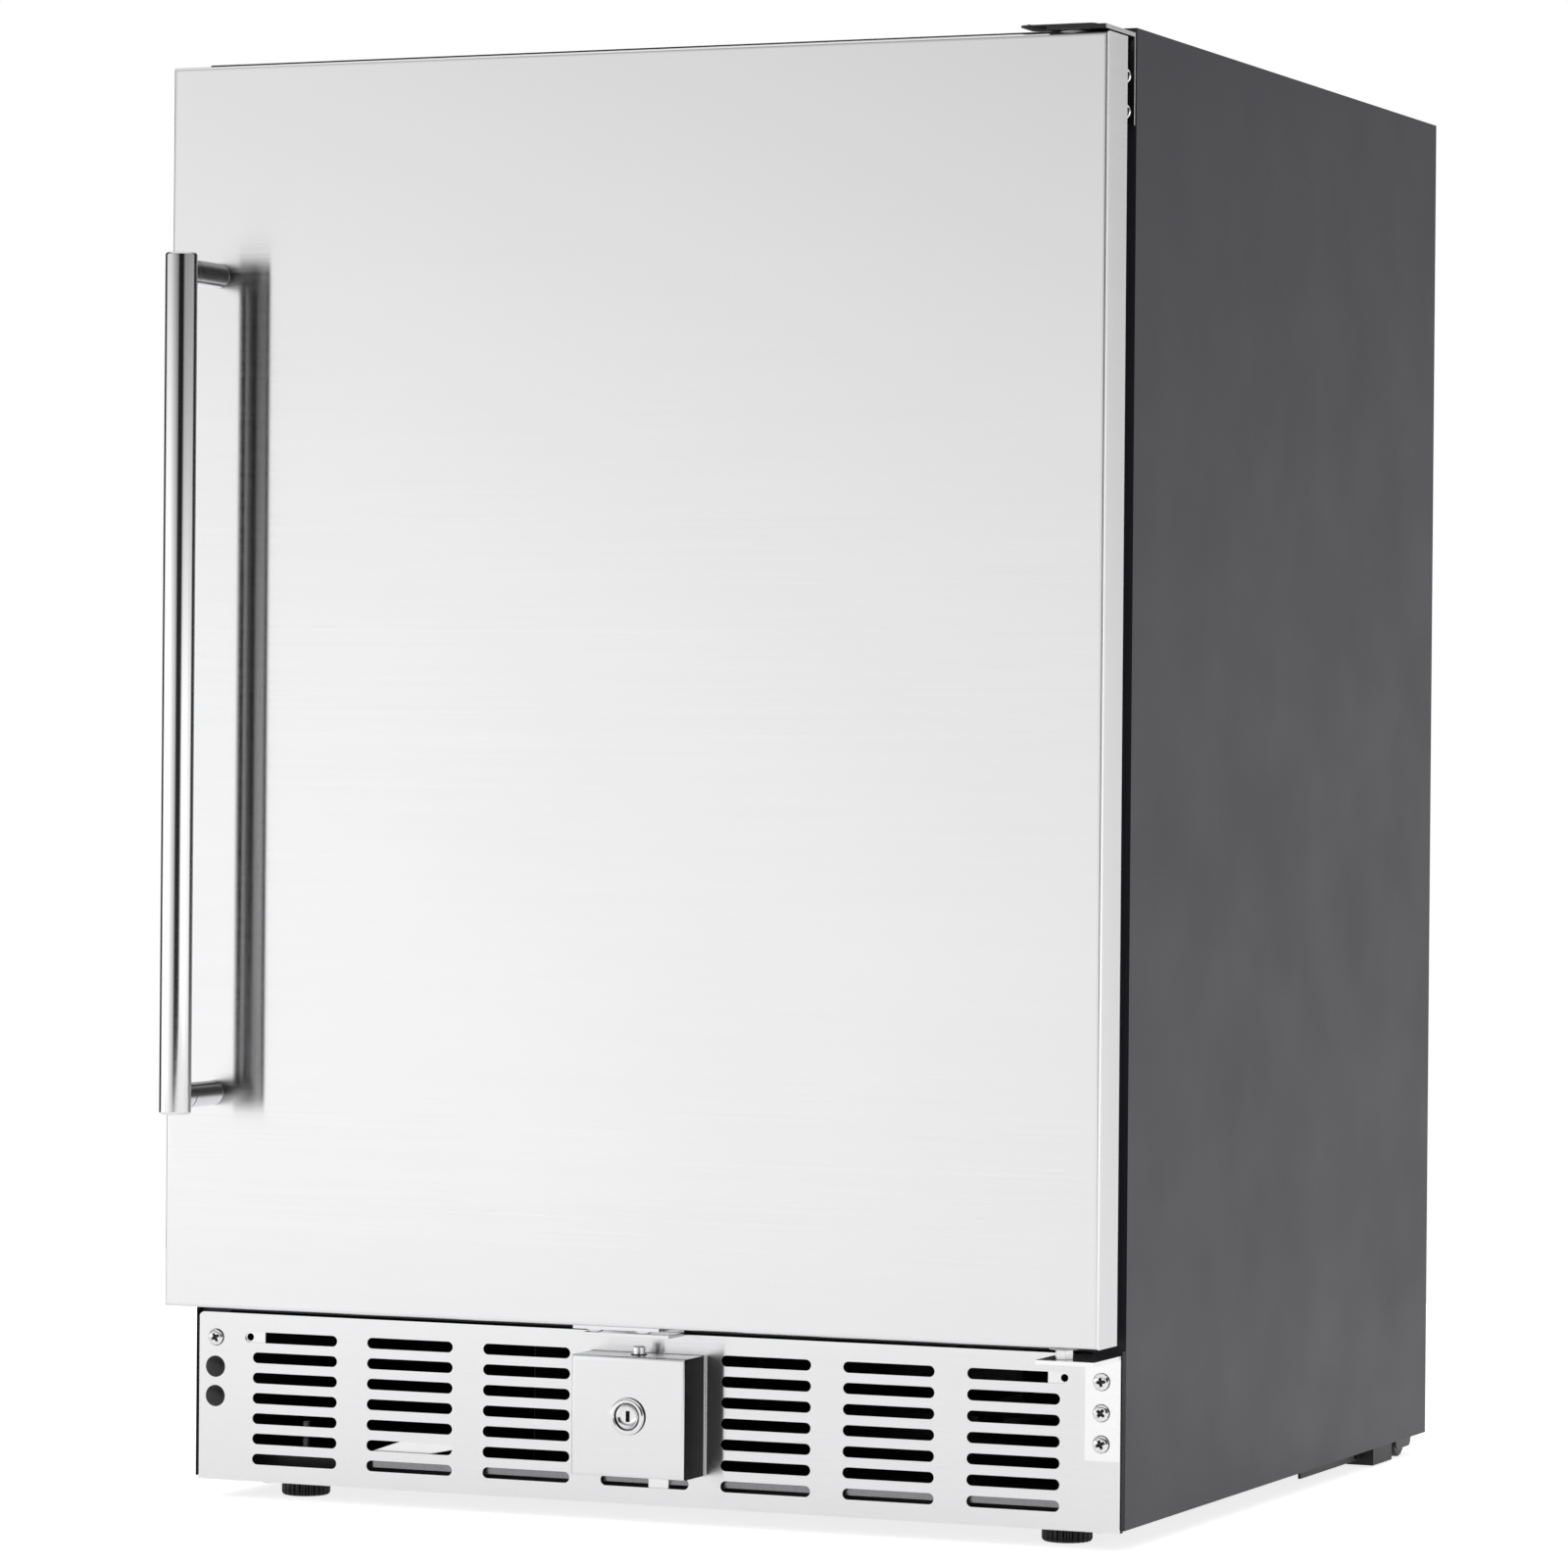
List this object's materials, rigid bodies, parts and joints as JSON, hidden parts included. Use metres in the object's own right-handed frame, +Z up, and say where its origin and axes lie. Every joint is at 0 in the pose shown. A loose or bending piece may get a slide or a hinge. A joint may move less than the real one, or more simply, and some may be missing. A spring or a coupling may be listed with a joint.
{
  "type": "undercounter refrigerator",
  "caption": "Box-shaped undercounter refrigerator with a hinged stainless door, bar handle, slotted kick grille, key lock, wire shelves and a rear machine room.",
  "frame": {"origin": "on the floor, under the middle of the whole object's width and depth, handle included", "axes": "+Z up, +X to the right of the door, -Y out of the door"},
  "size_m": [0.597, 0.6804, 0.87],
  "materials": {
    "brushed_stainless": "satin",
    "satin_stainless": "satin",
    "zinc_steel": "satin",
    "plated_lock": "gloss",
    "dark_paint": "satin",
    "compressor_paint": "satin",
    "wire_steel": "gloss",
    "coil_aluminium": "satin",
    "copper_tube": "satin",
    "black_plastic": "matte",
    "liner_plastic": "satin",
    "foam": "matte",
    "black_rubber": "matte",
    "bush_plastic": "matte",
    "dark_lens": "gloss",
    "clear_lens": "matte"
  },
  "bodies": {
    "cabinet": {"air_baffle": "zinc_steel", "back_panel": "zinc_steel", "base_rails": "dark_paint", "base_tray": "zinc_steel", "compressor": "compressor_paint", "compressor_grommets": "black_rubber", "condenser_coil": "coil_aluminium", "condenser_fan_motor": "compressor_paint", "condenser_fan_shroud": "zinc_steel", "control_housing": "black_plastic", "cord_gland": "black_plastic", "display_lens": "dark_lens", "evaporator_coil": "coil_aluminium", "evaporator_cover": "liner_plastic", "evaporator_fan_motor": "compressor_paint", "front_bottom_rail": "dark_paint", "hinge_pins": "zinc_steel", "hole_plugs": "black_plastic", "inner_liner": "liner_plastic", "insulation_foam": "foam", "kick_grille": "brushed_stainless", "lamp_lens": "clear_lens", "left_side_panel": "dark_paint", "lock_cylinder": "plated_lock", "lock_housing": "brushed_stainless", "lower_hinge_bracket": "zinc_steel", "panel_clips": "zinc_steel", "panhead_screws": "zinc_steel", "rear_service_cover": "zinc_steel", "refrigerant_lines": "copper_tube", "right_side_panel": "dark_paint", "roller_brackets": "zinc_steel", "shelf_lower": "wire_steel", "shelf_middle": "wire_steel", "shelf_upper": "wire_steel", "top_panel": "dark_paint", "upper_hinge_bracket": "zinc_steel", "upper_hinge_cap": "black_plastic"},
    "door": {"door_skin": "brushed_stainless", "door_foam": "foam", "door_liner": "liner_plastic", "door_gasket": "black_rubber", "door_bushings": "bush_plastic", "handle_bar": "satin_stainless", "handle_posts": "satin_stainless", "strike_bracket": "brushed_stainless", "strike_screws": "zinc_steel"},
    "lock_plug": {"lock_plug": "plated_lock"},
    "lock_bolt": {"lock_bolt": "zinc_steel"},
    "left_foot_stud": {"left_foot_stud": "zinc_steel"},
    "left_foot_knob": {"left_foot_knob": "black_plastic"},
    "right_foot_stud": {"right_foot_stud": "zinc_steel"},
    "right_foot_knob": {"right_foot_knob": "black_plastic"},
    "left_rear_roller": {"left_rear_roller": "black_plastic"},
    "right_rear_roller": {"right_rear_roller": "black_plastic"},
    "condenser_fan_blade": {"condenser_fan_blade": "black_plastic"},
    "evaporator_fan_blade": {"evaporator_fan_blade": "black_plastic"},
    "power_button": {"power_button": "black_plastic"},
    "warmer_button": {"warmer_button": "black_plastic"},
    "colder_button": {"colder_button": "black_plastic"}
  },
  "joints": [
    {"name": "door_hinge", "type": "hinge", "parent": "cabinet", "child": "door", "pos_m": [0.275, -0.27575, 0.4918], "axis": [0, 0, 1], "range_deg": [0, 110]},
    {"name": "lock_turn", "type": "hinge", "parent": "cabinet", "child": "lock_plug", "pos_m": [0.002, -0.27135, 0.067], "axis": [0, -1, 0], "range_deg": [0, 90]},
    {"name": "lock_bolt_slide", "type": "slide", "parent": "cabinet", "child": "lock_bolt", "axis": [0, 0, 1], "range_m": [0, 0.00905]},
    {"name": "condenser_fan_spin", "type": "hinge", "parent": "cabinet", "child": "condenser_fan_blade", "pos_m": [-0.09, 0.23925, 0.128], "axis": [1, 0, 0], "continuous": true},
    {"name": "evaporator_fan_spin", "type": "hinge", "parent": "cabinet", "child": "evaporator_fan_blade", "pos_m": [0, 0.25225, 0.7], "axis": [0, 1, 0], "continuous": true},
    {"name": "left_foot_slide", "type": "slide", "parent": "cabinet", "child": "left_foot_stud", "axis": [0, 0, -1], "range_m": [0, 0.01201]},
    {"name": "left_foot_turn", "type": "hinge", "parent": "left_foot_stud", "child": "left_foot_knob", "pos_m": [-0.248, -0.19575, 0.006], "axis": [0, 0, -1], "range_deg": [0, 2880]},
    {"name": "left_roller_spin", "type": "hinge", "parent": "cabinet", "child": "left_rear_roller", "pos_m": [-0.281, 0.30725, 0.013], "axis": [1, 0, 0], "continuous": true},
    {"name": "right_foot_slide", "type": "slide", "parent": "cabinet", "child": "right_foot_stud", "axis": [0, 0, -1], "range_m": [0, 0.01201]},
    {"name": "right_foot_turn", "type": "hinge", "parent": "right_foot_stud", "child": "right_foot_knob", "pos_m": [0.248, -0.19575, 0.006], "axis": [0, 0, -1], "range_deg": [0, 2880]},
    {"name": "right_roller_spin", "type": "hinge", "parent": "cabinet", "child": "right_rear_roller", "pos_m": [0.281, 0.30725, 0.013], "axis": [1, 0, 0], "continuous": true},
    {"name": "power_button_press", "type": "slide", "parent": "cabinet", "child": "power_button", "axis": [0, 1, 0], "range_m": [0, 0.0012], "stiffness_N_per_m": 300, "springref_m": -0.0003},
    {"name": "warmer_button_press", "type": "slide", "parent": "cabinet", "child": "warmer_button", "axis": [0, 1, 0], "range_m": [0, 0.0012], "stiffness_N_per_m": 300, "springref_m": -0.0003},
    {"name": "colder_button_press", "type": "slide", "parent": "cabinet", "child": "colder_button", "axis": [0, 1, 0], "range_m": [0, 0.0012], "stiffness_N_per_m": 300, "springref_m": -0.0003}
  ],
  "couplings": [
    {"joint": "lock_bolt_slide", "follows": "lock_turn", "m_per_rad": 0.0057296},
    {"joint": "left_foot_slide", "follows": "left_foot_turn", "m_per_rad": 0.00023873},
    {"joint": "right_foot_slide", "follows": "right_foot_turn", "m_per_rad": 0.00023873}
  ]
}
